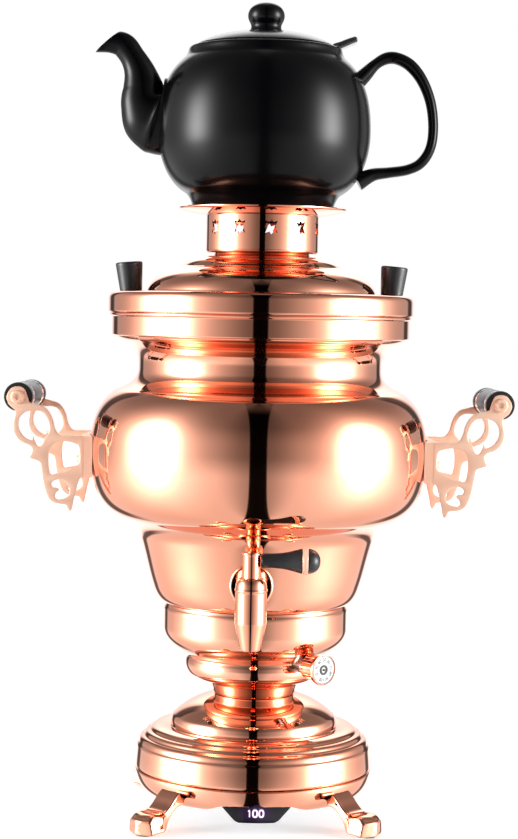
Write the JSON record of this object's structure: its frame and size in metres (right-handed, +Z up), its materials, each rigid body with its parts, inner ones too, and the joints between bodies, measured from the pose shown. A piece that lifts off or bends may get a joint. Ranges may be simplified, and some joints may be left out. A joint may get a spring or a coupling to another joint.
{
  "type": "electric samovar",
  "caption": "Electric samovar: bulbous polished copper water boiler on curled feet, with a front tap, side scroll handles, a lift-off lid and a black teapot standing on its pierced crown.",
  "frame": {"origin": "on the vertical axis at table level, below the middle of the base", "axes": "+Z up, -Y to the front where the tap is, +X to the right of a person facing the tap"},
  "size_m": [0.3332, 0.2246, 0.5346],
  "materials": {
    "copper": "mirror-polished copper plating",
    "black_plastic": "satin black, heat-proof",
    "display": "smoked gloss panel with lit digits",
    "ceramic": "black glaze",
    "steel": "plain stainless",
    "chrome": "polished",
    "brass": "turned",
    "rubber": "matt black",
    "board": "green solder mask",
    "dial": "white with printed numbers"
  },
  "bodies": {
    "samovar": {"base_skirt": "copper", "base_cover": "copper", "foot_front_left": "copper", "foot_front_right": "copper", "foot_rear_left": "copper", "foot_rear_right": "copper", "heater_housing": "copper", "tank_bowl": "copper", "tank": "copper", "rim_band": "copper", "tap_body": "copper", "tap_flange": "copper", "bracket_left": "copper", "plate_front_left": "copper", "plate_rear_left": "copper", "handle_screws_left": "copper", "bracket_right": "copper", "plate_front_right": "copper", "plate_rear_right": "copper", "handle_screws_right": "copper", "grip_left": "black_plastic", "grip_right": "black_plastic", "grip_collars_left": "black_plastic", "grip_collars_right": "black_plastic", "cord_gland": "black_plastic", "display_panel": "display", "bottom_plate": "steel", "foot_screws": "steel", "gland_nut": "steel", "stem_tube": "steel", "stem_nuts": "steel", "heating_element": "steel", "thermostat": "steel", "thermostat_nut": "steel", "thermal_cutout": "steel", "grip_rod_left": "steel", "grip_rod_right": "steel", "grip_rings_left": "chrome", "grip_rings_right": "chrome", "element_nuts": "brass", "tap_nut": "brass", "board_posts": "brass", "foot_pads": "rubber", "tap_gasket": "rubber", "control_board": "board"},
    "tap_key": {"tap_plug": "copper", "tap_lever": "black_plastic", "lever_ring": "copper", "lever_tip": "black_plastic"},
    "temperature_knob": {"knob": "copper", "knob_dial": "dial", "knob_shaft": "steel"},
    "lid": {"lid": "copper", "lid_knob_left": "black_plastic", "lid_knob_right": "black_plastic", "lid_screws": "steel"},
    "crown": {"crown": "copper"},
    "teapot": {"teapot": "ceramic"},
    "strainer": {"strainer": "steel"},
    "teapot_lid": {"teapot_lid": "ceramic"}
  },
  "joints": [
    {"name": "tap_turn", "type": "hinge", "parent": "samovar", "child": "tap_key", "pos_m": [-0.0029, -0.103, 0.1795], "axis": [0, 0, -1], "range_deg": [0, 90]},
    {"name": "knob_turn", "type": "hinge", "parent": "samovar", "child": "temperature_knob", "pos_m": [0.03857, -0.04596, 0.1036], "axis": [0.6428, -0.766, 0], "range_deg": [0, 270]},
    {"name": "lid_lift", "type": "slide", "parent": "samovar", "child": "lid", "axis": [0, 0, 1], "range_m": [0, 0.12]},
    {"name": "crown_lift", "type": "slide", "parent": "lid", "child": "crown", "axis": [0, 0, 1], "range_m": [0, 0.06]},
    {"name": "teapot_lift", "type": "slide", "parent": "crown", "child": "teapot", "axis": [0, 0, 1], "range_m": [0, 0.1]},
    {"name": "strainer_lift", "type": "slide", "parent": "teapot", "child": "strainer", "axis": [0, 0, 1], "range_m": [0, 0.09]},
    {"name": "teapot_lid_lift", "type": "slide", "parent": "strainer", "child": "teapot_lid", "axis": [0, 0, 1], "range_m": [0, 0.08]}
  ]
}
